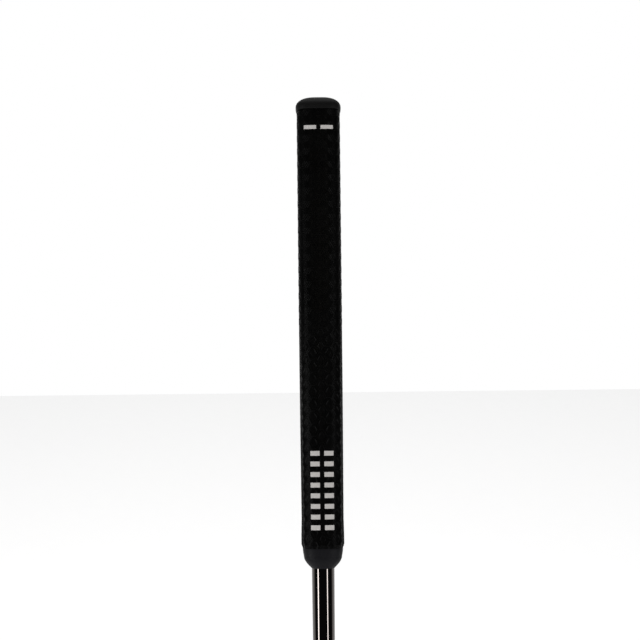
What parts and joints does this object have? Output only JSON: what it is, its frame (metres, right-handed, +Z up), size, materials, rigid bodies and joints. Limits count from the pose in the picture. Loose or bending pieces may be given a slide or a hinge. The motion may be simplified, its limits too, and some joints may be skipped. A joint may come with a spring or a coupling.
{
  "type": "blade putter",
  "caption": "Right-handed blade putter: heel-toe weighted head with plumber's neck and screw-in sole weights, tapered black shaft, flat-front embossed rubber grip.",
  "frame": {"origin": "middle of the sole's flat, on the ground, with the putter at address", "axes": "+X towards the heel, -Y the way the face looks, +Z up; the shaft leans 20 degrees from +Z towards +X"},
  "size_m": [0.395, 0.0466, 0.8127],
  "materials": {
    "head_steel": "milled carbon steel with a dark satin plating",
    "weight_steel": "turned stainless steel, satin",
    "washer_nylon": "black nylon",
    "sight_paint": "matte white paint fill",
    "epoxy": "cured epoxy",
    "shaft_chrome": "black chrome, mirror gloss",
    "plug_cork": "cork",
    "tape_paper": "double-sided paper grip tape",
    "core_foam": "closed-cell foam rubber",
    "wrap_rubber": "black rubber embossed with a diamond lattice, satin",
    "cap_rubber": "smooth matte rubber",
    "collar_rubber": "smooth matte rubber"
  },
  "bodies": {
    "club": {"head_body": "head_steel", "sight_line_fill": "sight_paint", "hosel_epoxy": "epoxy", "shaft": "shaft_chrome", "tip_plug": "plug_cork", "grip_tape": "tape_paper", "grip_core": "core_foam", "grip_wrap": "wrap_rubber", "grip_cap": "cap_rubber", "grip_collar": "collar_rubber"},
    "heel_washer_body": {"heel_washer": "washer_nylon"},
    "heel_weight_body": {"heel_weight": "weight_steel"},
    "toe_washer_body": {"toe_washer": "washer_nylon"},
    "toe_weight_body": {"toe_weight": "weight_steel"}
  },
  "joints": [
    {"name": "heel_weight_travel", "type": "slide", "parent": "club", "child": "heel_washer_body", "axis": [0, 0, -1], "range_m": [0, 0.0061]},
    {"name": "heel_weight_turn", "type": "hinge", "parent": "heel_washer_body", "child": "heel_weight_body", "pos_m": [0.039, 0.001, 0], "axis": [0, 0, -1], "range_deg": [0, 2160]},
    {"name": "toe_weight_travel", "type": "slide", "parent": "club", "child": "toe_washer_body", "axis": [0, 0, -1], "range_m": [0, 0.0061]},
    {"name": "toe_weight_turn", "type": "hinge", "parent": "toe_washer_body", "child": "toe_weight_body", "pos_m": [-0.039, 0.001, 0], "axis": [0, 0, -1], "range_deg": [0, 2160]}
  ],
  "couplings": [
    {"joint": "heel_weight_travel", "follows": "heel_weight_turn", "m_per_rad": 0.00015915},
    {"joint": "toe_weight_travel", "follows": "toe_weight_turn", "m_per_rad": 0.00015915}
  ]
}
